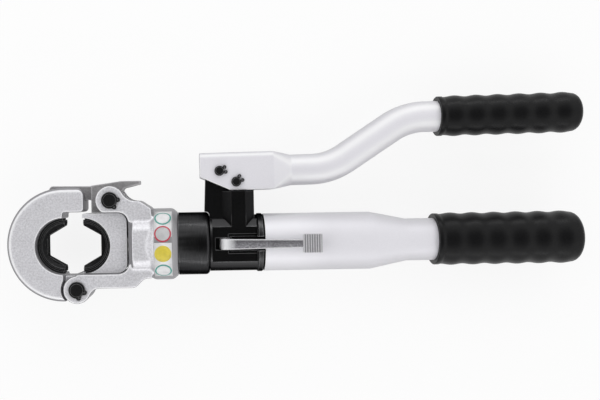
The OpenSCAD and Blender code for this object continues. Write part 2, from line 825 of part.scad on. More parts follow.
module fork_arms_2d() {
    translate([hook_pin_x, hook_pin_y]) circle(r = hook_boss_r);
    translate([latch_pin_x, latch_pin_y]) circle(r = latch_boss_r);
    polygon([
        [hook_pin_x, arm_low_y], [heel_x - heel_round_t, arm_low_y],
        [heel_x + heel_round_t * cos(heel_slope), arm_low_y + heel_round_t * sin(heel_slope)],
        [heel_top_x, heel_top_y], [collar_x + overrun, heel_top_y],
        [collar_x + overrun, 0], [hook_pin_x, 0]
    ]);
    translate([heel_x - heel_round_t, arm_low_y + heel_round_r]) circle(r = heel_round_r);
    difference() {
        polygon([
            [heel_top_x, heel_top_y], [heel_top_x + heel_hollow_t, heel_top_y],
            [heel_top_x - heel_hollow_t * cos(heel_slope), heel_top_y - heel_hollow_t * sin(heel_slope)]
        ]);
        translate([heel_top_x + heel_hollow_t, heel_top_y - heel_hollow_r]) circle(r = heel_hollow_r);
    }
    difference() {
        polygon([
            [hook_pin_x, hook_pin_y], [hook_fillet_x, hook_fillet_y],
            [hook_fillet_x, arm_low_y], [hook_pin_x, arm_low_y]
        ]);
        translate([hook_fillet_x, hook_fillet_y]) circle(r = hook_fillet_r);
    }
    difference() {
        polygon([
            [latch_pin_x, 0], [latch_pin_x, latch_pin_y], [latch_fillet_x, latch_fillet_y],
            [latch_fillet_x, shoulder_h], [latch_fillet_x + shoulder_flat, shoulder_h],
            [collar_x + overrun, shoulder_h - shoulder_fall], [collar_x + overrun, 0]
        ]);
        translate([latch_fillet_x, latch_fillet_y]) circle(r = latch_fillet_r);
    }
}

module fork_2d() difference() {
    fork_arms_2d();
    round_rect(-jaw_r, arm_top_y, wall_x, window_top, arm_corner_r, window_corner_r);
}

module collar_section() polygon([
    [0, collar_x - collar_lead], [neck_flat_w / 2, collar_x - collar_lead],
    [collar_r, collar_x + collar_chamfer],
    [collar_r, collar_end - collar_fall_len], [collar_r - collar_fall, collar_end], [0, collar_end]
]);

// Bevels along the rear edge of the fork's window, on both faces
module window_bevels() for (s = [-1, 1])
    translate([wall_x, (window_top + arm_top_y) / 2, s * fork_w / 2]) rotate([0, 45, 0])
        cube([window_bevel, window_top - arm_top_y - 2 * window_corner_r, window_bevel], center = true);

module head_fork() color("#bcbdc0") difference() {
    union() {
        slab(fork_w) fork_2d();
        bar_x(neck_x, collar_x + overrun) intersection() {
            circle(r = neck_r);
            square([2 * neck_r, neck_flat_w], center = true);
        }
        turn_x() collar_section();
    }
    rod_x(wall_x - overrun, spring_seat_x + overrun, rod_bush_r);
    rod_x(spring_seat_x, collar_x + overrun, spring_room_r);
    rod_x(collar_x, collar_end + overrun, thread_r);
    translate([-jaw_r, -2 * jaw_r, -fork_slot_w / 2])
        cube([jaw_r + hook_slot_end, 2 * jaw_r + arm_top_y + overrun, fork_slot_w]);
    translate([0, window_top - overrun, -fork_slot_w / 2])
        cube([latch_pin_x + latch_slot_len, tab_top, fork_slot_w]);
    window_bevels();
    pin_z(hook_pin_x, hook_pin_y, head_pin_r + seat_gap, fork_w + overrun);
    pin_z(latch_pin_x, latch_pin_y, head_pin_r + seat_gap, fork_w + overrun);
}

module rod_bush() color("#b08d57")
    tube_x(wall_x, spring_seat_x, rod_bush_r - seat_gap, rod_r + running_gap);

module hook_pin() color("#2a2a2d") at_hook_pin() grooved_pin(head_pin_r, fork_w);
module latch_pin() color("#2a2a2d") at_latch_pin() grooved_pin(head_pin_r, fork_w);

module head_retaining_rings() color("#222225") {
    at_hook_pin() ring_pair(fork_w, hook_ring_turn) head_ring_2d();
    at_latch_pin() ring_pair(fork_w, latch_ring_turn) head_ring_2d();
}

module cylinder_section() difference() {
    union() {
        translate([0, collar_x + seat_gap]) square([thread_r - seat_gap, collar_len]);
        translate([0, collar_end + seat_gap])
            square([cylinder_r, cylinder_len - seat_gap - cylinder_edge_r]);
        translate([0, collar_end + seat_gap])
            square([cylinder_r - cylinder_edge_r, cylinder_len - seat_gap]);
        translate([cylinder_r - cylinder_edge_r, cylinder_end - cylinder_edge_r])
            circle(r = cylinder_edge_r);
    }
    square([bore_r, cylinder_floor]);
    square([swivel_r, cylinder_end + overrun]);
    translate([swivel_r, swivel_ring_x]) circle(r = swivel_wire_r + swivel_wire_gap);
}

module ram_cylinder() color("#232326") turn_x() cylinder_section();

// Latch

module latch_2d() {
    translate([latch_pin_x, latch_pin_y]) circle(r = latch_hub_r);
    polygon([
        [latch_front, latch_low], [latch_pin_x, latch_low],
        [latch_pin_x + tab_root_len, tab_top - tab_root_drop], [tab_end, tab_top - tab_t],
        [tab_end, tab_top], [latch_pin_x + tab_rise_len, tab_top],
        [latch_front, tab_top - latch_top_fall]
    ]);
}

module finger_2d() difference() {
    finger_outline_2d();
    translate([hook_pin_x, hook_pin_y]) circle(r = finger_r);
}

// Finger with a round nose, before its underside is cut
module finger_outline_2d() {
    translate([finger_nose - finger_reach, finger_top - finger_nose]) circle(r = finger_nose);
    polygon([
        [-finger_reach, 0], [latch_front + overrun, 0],
        [latch_front + overrun, finger_top - finger_fall],
        [finger_nose - finger_reach, finger_top],
        [finger_nose - finger_reach, finger_top - finger_nose],
        [-finger_reach, finger_top - finger_nose]
    ]);
}

module latch() color("#b4b5b8") difference() {
    union() {
        slab(latch_w) latch_2d();
        slab(finger_w) finger_2d();
    }
    pin_z(latch_pin_x, latch_pin_y, head_pin_r + running_gap, lug_w);
    at_latch_pin() translate([0, 0, latch_w / 2 - hub_pocket_depth])
        cylinder(h = hub_pocket_depth + overrun, r = hub_pocket_r);
}

module latch_spring() color("#6f7176") at_latch_pin()
    translate([0, 0, latch_w / 2 - hub_pocket_depth + seat_gap])
        coil(latch_coil_r, latch_wire_d / 2, hub_pocket_depth, latch_turns);

// Ram

module die_carrier() color("#b6b7ba") difference() {
    slab(carrier_w) difference() {
        round_rect(carrier_front, -carrier_down, carrier_back, carrier_up,
            carrier_nose_r, carrier_corner_r);
        translate([stroke, 0]) circle(r = seat_r);
    }
    rod_x(rod_front, carrier_back + overrun, rod_r + seat_gap);
    rod_x(stroke, carrier_back, screw_r + seat_gap);
    rod_x(stroke, screw_front + screw_head_len, screw_head_r + seat_gap);
    on_ram() ball_plunger_bore(-moving_ball_turn);
}

module carrier_screw() color("#3a3a3e") difference() {
    union() {
        rod_x(screw_front, screw_front + screw_head_len - seat_gap, screw_head_r);
        rod_x(screw_front, screw_end, screw_r);
    }
    rod_x(screw_front - overrun, screw_front + screw_hex_depth, screw_hex_af / 2 / cos(30), $fn = 6);
}

module piston() color("#a9abb0") difference() {
    union() {
        rod_x(rod_front + seat_gap, piston_end, rod_r);
        rod_x(piston_front, piston_end, bore_r - running_gap);
    }
    tube_x(seal_front, seal_front + seal_len + backup_len, bore_r + overrun, bore_r - seal_depth);
    rod_x(rod_front - overrun, screw_end + overrun, screw_r + seat_gap);
}

module piston_seal() color("#26262a")
    tube_x(seal_front + seat_gap, seal_front + seal_len, bore_r - running_gap,
        bore_r - seal_depth + seat_gap);

module piston_backup_ring() color("#d8d4c4")
    tube_x(seal_front + seal_len + seat_gap, seal_front + seal_len + backup_len - seat_gap,
        bore_r - running_gap, bore_r - seal_depth + seat_gap);

module return_spring() color("#6f7176")
    coil_x(spring_seat_x + seat_gap, 0, return_coil_r, return_wire_d / 2,
        piston_front - spring_seat_x - 2 * seat_gap, return_turns);

// Pump block

// Cross section behind the flange: two flats, with sloped facets up to the pivot lug
module block_section() intersection() {
    circle(r = block_r);
    polygon([
        [-2 * block_r, -flat_half], [facet_low, -flat_half], [facet_top, -lug_half],
        [2 * block_r, -lug_half], [2 * block_r, lug_half], [facet_top, lug_half],
        [facet_low, flat_half], [-2 * block_r, flat_half]
    ]);
}

module rim_section() polygon([
    [0, rim_x], [rim_r - rim_edge, rim_x], [rim_r, rim_x + rim_edge], [rim_r, rim_end - rim_edge],
    [rim_r - rim_edge, rim_end], [0, rim_end]
]);

// Room that the lug leaves for the cylinder's rounded edge
module foot_room_2d() {
    translate([foot_x, foot_y]) circle(r = cylinder_edge_r + foot_gap);
    translate([lug_front - overrun, 0])
        square([foot_x - lug_front + overrun, cylinder_r + foot_gap]);
}

// Lug of the handle pivot, which follows the cylinder's rounded edge
module pivot_lug_2d() difference() {
    intersection() {
        union() {
            translate([pivot_x, pivot_y]) circle(r = pivot_lug_r);
            polygon([
                [lug_front, foot_low], [block_x, foot_low], [block_x, 0], [lug_rear, 0],
                [lug_rear, pivot_y], [pivot_x - pivot_lug_r, pivot_y]
            ]);
        }
        translate([lug_front - overrun, 0]) square([lug_rear - lug_front + overrun, 2 * pivot_y]);
    }
    foot_room_2d();
}

// Boss of the pump plunger, with its corners cut and a step that stands inside the handle
module plunger_boss() translate([plunger_x, 0, 0]) rotate([-90, 0, 0]) {
    linear_extrude(height = boss_top + boss_step) square([2 * boss_half, pivot_lug_w], center = true);
    linear_extrude(height = boss_top) polygon([
        [-boss_half, -boss_side_half], [-boss_flat_half, -flat_half],
        [boss_flat_half, -flat_half], [boss_half, -boss_side_half],
        [boss_half, boss_side_half], [boss_flat_half, flat_half],
        [-boss_flat_half, flat_half], [-boss_half, boss_side_half]
    ]);
}

module oil_bore(x0, x1, y, r) translate([0, y, 0]) rod_x(x0, x1, r);

module valve_bores() {
    oil_bore(plunger_x, nose_end + overrun, suction_y, oil_r);
    oil_bore(suction_seat_x, nose_end + overrun, suction_y, valve_r);
    oil_bore(spigot_front - overrun, plunger_x, delivery_y, oil_r);
    oil_bore(spigot_front - overrun, delivery_seat_x, delivery_y, valve_r);
    oil_bore(spigot_front - overrun, relief_seat_x + overrun, relief_y, oil_r);
    oil_bore(relief_seat_x, nose_end + overrun, relief_y, relief_bore_r);
    oil_bore(spigot_front - overrun, nose_end + overrun, 0, oil_r);
    translate([valve_pin_x, 0, -valve_depth])
        cylinder(h = valve_depth + slot_bottom + overrun, r = valve_r);
}

// Box between two stations, even about the ram axis, open to the viewer's side
module pocket(x0, x1, half, floor) translate([x0, -half, floor])
    cube([x1 - x0, 2 * half, block_r + rim_r - floor]);

module release_pockets() {
    pocket(pocket_front, pocket_rear, pocket_half, pocket_floor);
    pocket(flange_end + slot_lead, rim_x, slot_wide_half, flat_half - slot_wide_depth);
    pocket(pocket_rear - heel_space, rim_end + overrun, slot_half, slot_bottom);
    translate([release_x, 0, release_rise]) rotate([90, 0, 0])
        cylinder(h = 2 * release_pin_half, r = release_pin_r + seat_gap, center = true);
}

module pump_block() color("#1c1c1f") difference() {
    union() {
        rod_x(block_x, flange_end, block_r);
        bar_x(flange_end, rim_x + rim_edge) block_section();
        turn_x() rim_section();
        rod_x(rim_x, spigot_rear_end, spigot_rear_r);
        rod_x(rim_x, nose_end, nose_r);
        rod_x(spigot_front, block_x + overrun, spigot_r);
        slab(pivot_lug_w) pivot_lug_2d();
        plunger_boss();
    }
    rod_y(plunger_x, plunger_floor, boss_top + boss_step + overrun, plunger_r + running_gap);
    rod_y(plunger_x, gland_floor, boss_top + boss_step + overrun, gland_r);
    pin_z(pivot_x, pivot_y, pivot_bush_r, pivot_lug_w + overrun);
    valve_bores();
    release_pockets();
    tube_x(swivel_seal_x - swivel_seal_r - seat_gap, swivel_seal_x + swivel_seal_r + seat_gap,
        spigot_r + overrun, spigot_r - 2 * swivel_seal_r - seat_gap);
    turn_x() translate([swivel_r, swivel_ring_x]) circle(r = swivel_wire_r + seat_gap);
    tube_x(tube_seal_x - tube_seal_r - seat_gap, tube_seal_x + tube_seal_r + seat_gap,
        spigot_rear_r + overrun, spigot_rear_r - 2 * tube_seal_r - seat_gap);
}

// Ring of round section, turned round the ram axis
module round_ring(x, r, wire_r) turn_x() translate([r, x]) circle(r = wire_r, $fn = 24);

module swivel_ring() color("#6f7176") round_ring(swivel_ring_x, swivel_r, swivel_wire_r);
module swivel_seal() color("#26262a")
    round_ring(swivel_seal_x, spigot_r - swivel_seal_r, swivel_seal_r);
module tube_seal() color("#26262a")
    round_ring(tube_seal_x, spigot_rear_r - tube_seal_r, tube_seal_r);

module plunger_gland() color("#b08d57") difference() {
    rod_y(plunger_x, gland_floor + plunger_seal_len + seat_gap, boss_top, gland_r - seat_gap);
    rod_y(plunger_x, gland_floor, boss_top + boss_step + overrun, plunger_r + running_gap);
}

module plunger_seal() color("#26262a") difference() {
    rod_y(plunger_x, gland_floor + seat_gap, gland_floor + plunger_seal_len, gland_r - seat_gap);
    rod_y(plunger_x, gland_floor - overrun, boss_top, plunger_r + running_gap);
}

module pivot_bush() color("#b08d57") at_pivot() difference() {
    cylinder(h = pivot_lug_w, r = pivot_bush_r - seat_gap, center = true);
    cylinder(h = pivot_lug_w + overrun, r = handle_pin_r + running_gap, center = true);
}

module release_lever_pin() color("#8c8f94") translate([release_x, 0, release_rise])
    rotate([90, 0, 0]) cylinder(h = 2 * release_pin_half - overrun, r = release_pin_r, center = true);

// Valves

module valve_ball(x, y) translate([x, y, 0]) sphere(r = ball_r);

module suction_valve_ball() color("#9a9ca1") valve_ball(suction_ball_x, suction_y);
module delivery_valve_ball() color("#9a9ca1") valve_ball(delivery_ball_x, delivery_y);
module relief_valve_ball() color("#9a9ca1") valve_ball(relief_ball_x, relief_y);
module release_valve_ball() color("#9a9ca1") translate([valve_pin_x, 0, 0]) sphere(r = ball_r);

module suction_valve_spring() color("#6f7176")
    coil_x(suction_ball_x + coil_seat, suction_y, valve_coil_r, valve_wire_r,
        valve_spring_len - seat_gap, valve_turns);
module delivery_valve_spring() color("#6f7176")
    coil_x(delivery_screw_x + seat_gap, delivery_y, valve_coil_r, valve_wire_r,
        valve_spring_len - seat_gap, valve_turns);
module relief_valve_spring() color("#6f7176")
    coil_x(relief_ball_x + relief_coil_seat, relief_y, relief_coil_r, valve_wire_r,
        relief_spring_len - seat_gap, relief_turns);
module release_valve_spring() color("#6f7176") translate([valve_pin_x, 0, seat_gap - valve_depth])
    coil(valve_coil_r, valve_wire_r, release_coil_len, valve_turns);

module suction_valve_cage() color("#b08d57") translate([0, suction_y, 0])
    tube_x(suction_cage_x, suction_cage_x + cage_len, valve_r - seat_gap, oil_r);
module suction_filter() color("#c9b98a") translate([0, suction_y, 0])
    tube_x(suction_cage_x + cage_len + seat_gap, nose_end + filter_out, valve_r - seat_gap,
        valve_r - filter_wall);
module delivery_valve_screw() color("#8c8f94") translate([0, delivery_y, 0])
    tube_x(delivery_screw_x - valve_screw_len, delivery_screw_x, valve_r - seat_gap, oil_r);
module relief_valve_screw() color("#8c8f94") translate([0, relief_y, 0]) difference() {
    rod_x(relief_screw_x, relief_screw_x + valve_screw_len, relief_bore_r - seat_gap);
    rod_x(relief_screw_x + screw_hex_depth, relief_screw_x + 2 * valve_screw_len, oil_r, $fn = 6);
}

module release_valve_bush() color("#b08d57") translate([valve_pin_x, 0, 0]) difference() {
    translate([0, 0, bush_low]) cylinder(h = slot_bottom - bush_low, r = valve_r - seat_gap);
    cylinder(h = slot_bottom + overrun, r = valve_pin_r + running_gap);
}

module release_valve_pin() color("#8c8f94") translate([valve_pin_x, 0, valve_pin_low])
    cylinder(h = valve_pin_top - valve_pin_low, r = valve_pin_r);

// Main handle

module main_tube() color("#d4d5d9") turn_x() polygon([
    [tube_bore_r, rim_end + seat_gap], [tube_r, rim_end + seat_gap], [tube_r, tube_taper_x],
    [tube_end_r, tube_narrow_x], [tube_end_r, main_tube_end - seat_gap],
    [tube_end_r - tube_wall, main_tube_end - seat_gap], [tube_end_r - tube_wall, tube_narrow_x],
    [tube_bore_r, tube_taper_x]
]);

module tube_end_plug() color("#5c5e63")
    rod_x(main_tube_end - plug_len, main_tube_end - seat_gap, tube_end_r - tube_wall - running_gap);

module oil_bladder() color("#3b3230") turn_x() polygon([
    [bladder_neck_r, nose_end - bladder_neck],
    [bladder_neck_r + bladder_wall, nose_end - bladder_neck],
    [bladder_neck_r + bladder_wall, nose_end],
    [bladder_r, nose_end + bladder_shoulder],
    [bladder_r, bladder_end - bladder_dome],
    [bladder_r - bladder_dome, bladder_end],
    [0, bladder_end],
    [0, bladder_end - bladder_wall],
    [bladder_r - bladder_dome - bladder_wall, bladder_end - bladder_wall],
    [bladder_r - bladder_wall, bladder_end - bladder_dome],
    [bladder_r - bladder_wall, nose_end + bladder_shoulder],
    [bladder_neck_r, nose_end]
]);

module bladder_clip() color("#8c8f94")
    tube_x(nose_end - clip_in - clip_w, nose_end - clip_in,
        bladder_neck_r + bladder_wall + clip_t, bladder_neck_r + bladder_wall + seat_gap);

// Moulded grip with a rim at its mouth, waves along it and a rounded closed end
module grip(length, r, bore) {
    wavy = length - grip_rim - grip_end_r;
    pitch = (length - crest_lead - crest_tail) / (grip_waves - 1);
    steps = wave_steps * grip_waves;
    rim_r_out = r - wave_depth + grip_rim_h;
    waves = [
        for (i = [0 : steps])
            let (x = grip_rim + wavy * i / steps)
            [r - wave_depth * (1 - cos(360 * (x - crest_lead) / pitch)) / 2, x]
    ];
    end = [
        for (a = [15 : 15 : 90])
            [waves[steps][0] - grip_end_r * (1 - cos(a)), length - grip_end_r * (1 - sin(a))]
    ];
    turn_x() polygon(concat(
        [[bore, 0], [rim_r_out - grip_rim_h, 0], [rim_r_out, grip_rim_h]],
        [[rim_r_out, grip_rim - grip_rim_h]],
        waves, end, [[0, length], [0, length - grip_end_t], [bore, length - grip_end_t]]
    ));
}

module main_grip() color("#1b1b1d") translate([main_grip_x, 0, 0])
    grip(main_grip_len, main_grip_r, tube_end_r + seat_gap);

// Pump handle

// The handle is drawn level and then turned to its rest tilt round its pivot
module handle_frame() at_pivot() rotate([0, 0, handle_tilt])
    translate([-pivot_x, -pivot_y, 0]) children();

// Box section as (Y, Z), shrunk by a wall
module box_section(wall) round_rect(box_low + wall, wall - box_w / 2, box_top - wall,
    box_w / 2 - wall, box_foot_r, box_corner_r - wall);

// Change from the box to the round tube, each shrunk by a wall
module box_neck(wall, round_wall, reach) hull() {
    bar_x(box_end - reach, box_end - reach + blend_t) box_section(wall, $fn = 32);
    translate([0, handle_axis_y, 0])
        rod_x(lever_x + reach - blend_t, lever_x + reach, lever_r - round_wall, $fn = 32);
}

// Round rod along the handle's two bends, its straight lengths lapping over the bent ones
module bent_rod(r, reach) {
    translate([0, handle_axis_y, 0]) rod_x(lever_x - reach, bend_x + bend_lap, r);
    translate([bend_x, handle_axis_y + bend_r, 0]) rotate([0, 0, -90]) bend(r);
    translate([slope_x, slope_y, 0]) rotate([0, 0, bend_angle])
        rod_x(-bend_lap, lever_mid + bend_lap, r);
    translate([level_x, grip_axis_y - bend_r, 0]) rotate([0, 0, 90]) bend(r);
    translate([0, grip_axis_y, 0]) rod_x(level_x - bend_lap, handle_tube_end - seat_gap + reach, r);
}

module bend(r) rotate_extrude(angle = bend_angle) translate([bend_r, 0]) circle(r = r - seat_gap);

module pump_handle() color("#d6d7db") handle_frame() difference() {
    union() {
        bar_x(box_front, box_end) box_section(0);
        box_neck(0, 0, 0);
        bent_rod(lever_r, 0);
    }
    bar_x(box_front - overrun, box_end) box_section(box_wall);
    box_neck(box_wall, lever_wall, overrun);
    translate([box_front - overrun, box_low - overrun, box_wall - box_w / 2])
        cube([box_len - box_corner_r + overrun, box_h / 2, box_w - 2 * box_wall]);
    bent_rod(lever_r - lever_wall, overrun);
    slab(box_w + overrun) polygon([
        [box_front - overrun, box_low - overrun], [box_front + slant_len, box_low - overrun],
        [box_front + slant_len, box_low], [box_front, box_low + slant_rise],
        [box_front - overrun, box_low + slant_rise]
    ]);
    pin_z(pivot_x, pivot_y, handle_pin_r + seat_gap, box_w + overrun);
    pin_z(drive_x, drive_y, handle_pin_r + seat_gap, box_w + overrun);
}

module handle_grip() color("#1b1b1d") handle_frame()
    translate([handle_grip_x, grip_axis_y, 0])
        grip(handle_grip_len, handle_grip_r, lever_r + seat_gap);

module handle_pivot_pin() color("#2a2a2d") handle_frame() at_pivot()
    grooved_pin(handle_pin_r, box_w);
module handle_drive_pin() color("#2a2a2d") handle_frame() translate([drive_x, drive_y, 0])
    grooved_pin(handle_pin_r, box_w);
module handle_retaining_rings() color("#222225") handle_frame() {
    at_pivot() ring_pair(box_w, pivot_ring_turn) handle_ring_2d();
    translate([drive_x, drive_y, 0]) ring_pair(box_w, drive_ring_turn) handle_ring_2d();
}

// Plunger with a cross slot for the drive pin
module pump_plunger() color("#a9abb0") difference() {
    union() {
        rod_y(plunger_x, plunger_bottom, drive_rest_y, plunger_r);
        slab(head_w) translate([plunger_x - head_half, drive_rest_y - head_h / 2])
            square([2 * head_half, head_h]);
    }
    slab(head_w + overrun) translate([plunger_x, drive_rest_y])
        round_rect(-handle_pin_r - eye_play_x, -handle_pin_r - eye_play_y,
            handle_pin_r + eye_play_x, handle_pin_r + eye_play_y, eye_corner_r, eye_corner_r);
}

// Release lever

module lever_2d() {
    circle(r = heel_r);
    translate([-heel_half, 0]) square([2 * heel_half, bar_rise + release_t - lever_bend_r]);
    translate([heel_half, bar_rise]) square([release_len - heel_half, release_t]);
    translate([heel_half, bar_rise + release_t - lever_bend_r]) intersection() {
        circle(r = lever_bend_r);
        translate([-lever_bend_r, 0]) square(lever_bend_r);
    }
}

// Plan of the lever, narrowing to its tip
module lever_plan_2d() polygon([
    [-heel_r, -release_w / 2], [release_len, -release_tip_w / 2],
    [release_len, release_tip_w / 2], [-heel_r, release_w / 2]
]);

// Thumb pad with ridges across it
module pad_2d() {
    pitch = pad_len / pad_ridges;
    crest = pitch * ridge_share / 2;
    translate([release_len - pad_len, bar_rise]) square([pad_len, release_t]);
    for (i = [0 : pad_ridges - 1])
        translate([release_len - pad_len + pitch * (i + ridge_share - crest / pitch), 0])
            polygon([
                [-crest, bar_rise + release_t], [crest, bar_rise + release_t],
                [crest * ridge_share, bar_rise + release_t + ridge_h],
                [-crest * ridge_share, bar_rise + release_t + ridge_h]
            ]);
}

module release_lever() color("#c3c4c8")
    translate([release_x, 0, release_rise]) rotate([0, -release_tilt, 0]) difference() {
        union() {
            intersection() {
                rotate([90, 0, 0]) slab(pad_w) lever_2d();
                slab(2 * rim_r) lever_plan_2d();
            }
            rotate([90, 0, 0]) slab(pad_w) pad_2d();
            translate([nub_along, 0, nub_low - release_rise])
                cylinder(h = release_floor - nub_low + release_t / 2, r = nub_r);
        }
        rotate([90, 0, 0]) cylinder(h = pad_w, r = release_pin_r + running_gap, center = true);
    }

pump_block();
main_tube();
main_grip();
oil_bladder();
bladder_clip();
suction_filter();
tube_seal();
tube_end_plug();
suction_valve_ball();
suction_valve_spring();
suction_valve_cage();
delivery_valve_ball();
delivery_valve_spring();
delivery_valve_screw();
relief_valve_ball();
relief_valve_spring();
relief_valve_screw();
release_valve_bush();
release_valve_spring();
plunger_gland();
plunger_seal();
pivot_bush();
release_lever_pin();
swivel_ring();
swivel_seal();
head_fork();
ram_cylinder();
rod_bush();
hook_pin();
latch_pin();
head_retaining_rings();
hook_jaw();
hook_bush();
fixed_die();
fixed_die_plunger();
latch();
latch_spring();
piston();
piston_seal();
piston_backup_ring();
return_spring();
die_carrier();
carrier_screw();
moving_die();
moving_die_plunger();
pump_handle();
handle_grip();
handle_pivot_pin();
handle_drive_pin();
handle_retaining_rings();
pump_plunger();
release_lever();
release_valve_pin();
release_valve_ball();
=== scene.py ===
"""Looks of a hand-pumped hydraulic crimping tool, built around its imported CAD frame."""

import json
import math

import bpy
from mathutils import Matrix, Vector


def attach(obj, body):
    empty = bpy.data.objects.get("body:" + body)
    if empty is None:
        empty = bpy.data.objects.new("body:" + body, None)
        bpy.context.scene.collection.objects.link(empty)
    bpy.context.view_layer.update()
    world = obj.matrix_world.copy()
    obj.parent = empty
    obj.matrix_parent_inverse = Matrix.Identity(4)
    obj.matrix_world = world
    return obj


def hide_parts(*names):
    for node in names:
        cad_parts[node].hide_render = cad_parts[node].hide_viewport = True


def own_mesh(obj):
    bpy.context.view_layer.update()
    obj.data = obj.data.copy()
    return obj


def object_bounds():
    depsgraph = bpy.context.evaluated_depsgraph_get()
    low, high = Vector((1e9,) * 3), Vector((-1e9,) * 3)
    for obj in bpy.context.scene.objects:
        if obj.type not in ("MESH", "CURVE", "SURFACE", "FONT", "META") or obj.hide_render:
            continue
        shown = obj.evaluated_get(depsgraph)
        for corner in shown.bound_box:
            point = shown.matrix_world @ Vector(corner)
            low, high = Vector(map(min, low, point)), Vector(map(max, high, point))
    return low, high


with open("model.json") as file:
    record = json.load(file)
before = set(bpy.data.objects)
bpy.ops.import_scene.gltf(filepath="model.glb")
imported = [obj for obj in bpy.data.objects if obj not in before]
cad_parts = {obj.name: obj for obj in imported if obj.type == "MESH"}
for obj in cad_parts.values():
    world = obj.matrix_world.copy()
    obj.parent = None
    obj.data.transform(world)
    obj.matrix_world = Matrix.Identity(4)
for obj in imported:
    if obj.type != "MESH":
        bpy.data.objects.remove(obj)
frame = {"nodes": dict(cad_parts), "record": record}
cad_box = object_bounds()
nodes = frame["nodes"]
MM = 0.001

# The photograph: its width in pixels, and its scale on the tool's mid-plane
IMAGE_W = 600
MM_PER_PIXEL = 0.783
# Pixel of the frame's origin, and the pixel straight under the camera
ORIGIN_PIXEL = (66.5, 245.4)
VIEW_PIXEL = (192.0, 200.0)
# Camera's height over the tool's mid-plane, and the width of its sensor, in millimetres
VIEW_DISTANCE = 600.0
SENSOR = 36.0
# Turn of the tool's long axis against the rows of the photograph
AXIS_ROLL = math.radians(1.02)

# Places where one finish, or one painted light or shade, gives way to the next, from start to end
# Main tube: painted light, paler paint towards the block's end
PAINTED_LIGHT_X = (178.0 * MM, 204.0 * MM)
# Pump block: end of its front flange, before which its edges get no painted highlight, and foot of its
# boss, above which that painted highlight is weaker
FLANGE_X = (114.5 * MM, 116.5 * MM)
BOSS_Y = (20.0 * MM, 23.0 * MM)
# Release lever: its bend, with a painted highlight in front and grain behind, and the front of its thumb
# pad
BEND_X = (125.0 * MM, 132.0 * MM)
PAD_X = (180.7 * MM, 182.2 * MM)
# Release lever: its width, over which it gets darker towards the pump handle
LEVER_Y = (-3.2 * MM, 3.2 * MM)
# Fork: front of its neck, behind which it has no painted highlight band and another painted side shade,
# and of its collar, which is turned and painted darker as a dark reflection
NECK_X = (51.0 * MM, 53.0 * MM)
COLLAR_X = (69.0 * MM, 70.0 * MM)

# Flatness of a face, 1 where it lies square to the tool's Z and 0 where it stands along it
# Blasted steel: where the painted shade of its sides starts to fade out and where it has gone
SIDE_SHADE_FADE = (0.45, 0.76)
# The same on the wide round rims of hook and fork, and behind the fork's neck
RIM_SHADE_FADE = (0.72, 0.90)
NECK_SHADE_FADE = (0.60, 0.86)
# Blasted steel: share of a painted highlight band, most where a flat face starts to turn over
HIGHLIGHT_BAND_STOPS = [(0.78, 0.3), (0.92, 1.0), (0.965, 1.0), (0.995, 0.0)]
# Silver paint: share of the painted shade on its flanks
FLANK_SHADE_STOPS = [(0.30, 0.7), (0.85, 0.0)]
# Openness of an edge as rays sent inwards find it: white below the first, nothing above the second
EDGE_FADE = (0.66, 0.97)

# Colours, in linear light
# No painted highlight and no edge wear
NO_WEAR_OR_HIGHLIGHT = (0.0, 0.0, 0.0)
# Turned steel of the collar, darker as a painted dark reflection
TURNED_STEEL_DARK_REFLECTION = (0.36, 0.356, 0.37)
# Blasted steel: dark and light grain, painted highlight (on edges partly edge wear), painted shade of
# the sides
BLASTED = ((0.62, 0.615, 0.645), (0.93, 0.925, 0.965), (0.93, 0.93, 0.95), (0.28, 0.276, 0.29))
BLASTED_LATCH = ((0.30, 0.292, 0.30), (0.48, 0.472, 0.48), (0.70, 0.69, 0.71), (0.34, 0.332, 0.34))
# Silver paint: dark and light flake, cloudy tint, painted light by the block, painted highlight (on
# edges partly edge wear), painted shade of the flank
PAINT_DARK = (0.80, 0.79, 0.835)
PAINT_LIGHT = (0.88, 0.87, 0.915)
PAINT_CLOUD = (0.83, 0.82, 0.865)
PAINTED_LIGHT_TINT = (0.95, 0.942, 0.985)
PAINT_HIGHLIGHT_AND_WEAR = (0.98, 0.98, 0.99)
PAINT_FLANK_SHADE = (0.60, 0.595, 0.62)
# Black finishes: grain from dark to light, painted reflection of the side lamps on the block's slopes,
# painted highlight on edges, partly edge wear
TURNED_DARK = (0.028, 0.028, 0.029)
TURNED_MID = (0.040, 0.040, 0.0415)
TURNED_LIGHT = (0.075, 0.075, 0.077)
TURNED_EDGE = (0.20, 0.20, 0.205)
BLOCK_DARK = (0.020, 0.020, 0.0205)
BLOCK_LIGHT = (0.034, 0.034, 0.035)
BLOCK_PAINTED_REFLECTION = (0.06, 0.06, 0.0615)
BLOCK_EDGE = (0.42, 0.42, 0.43)
OXIDE_DARK = (0.026, 0.026, 0.027)
OXIDE_LIGHT = (0.045, 0.045, 0.046)
OXIDE_EDGE = (0.26, 0.26, 0.265)
# Tint of the black finishes at a grazing look, where they mirror less than bare metal
DULL_RIM = (0.22, 0.22, 0.22)
# Mirror tint of blasted steel at a grazing look
BLASTED_RIM = (0.7, 0.7, 0.7)
# Release lever: grain from dark to light, its painted shaded side, painted highlight of its bend,
# sheared edge partly a painted highlight, and its thumb pad with painted highlights on its ridges
LEVER_DARK = (0.12, 0.117, 0.13)
LEVER_MID = (0.25, 0.246, 0.265)
LEVER_LIGHT = (0.50, 0.495, 0.52)
LEVER_SHADE = (0.085, 0.083, 0.092)
LEVER_BEND_HIGHLIGHT = (0.84, 0.84, 0.86)
LEVER_EDGE = (0.92, 0.92, 0.94)
PAD_FACE = (0.44, 0.435, 0.455)
PAD_RIDGE_HIGHLIGHT = (0.82, 0.82, 0.84)


# Materials

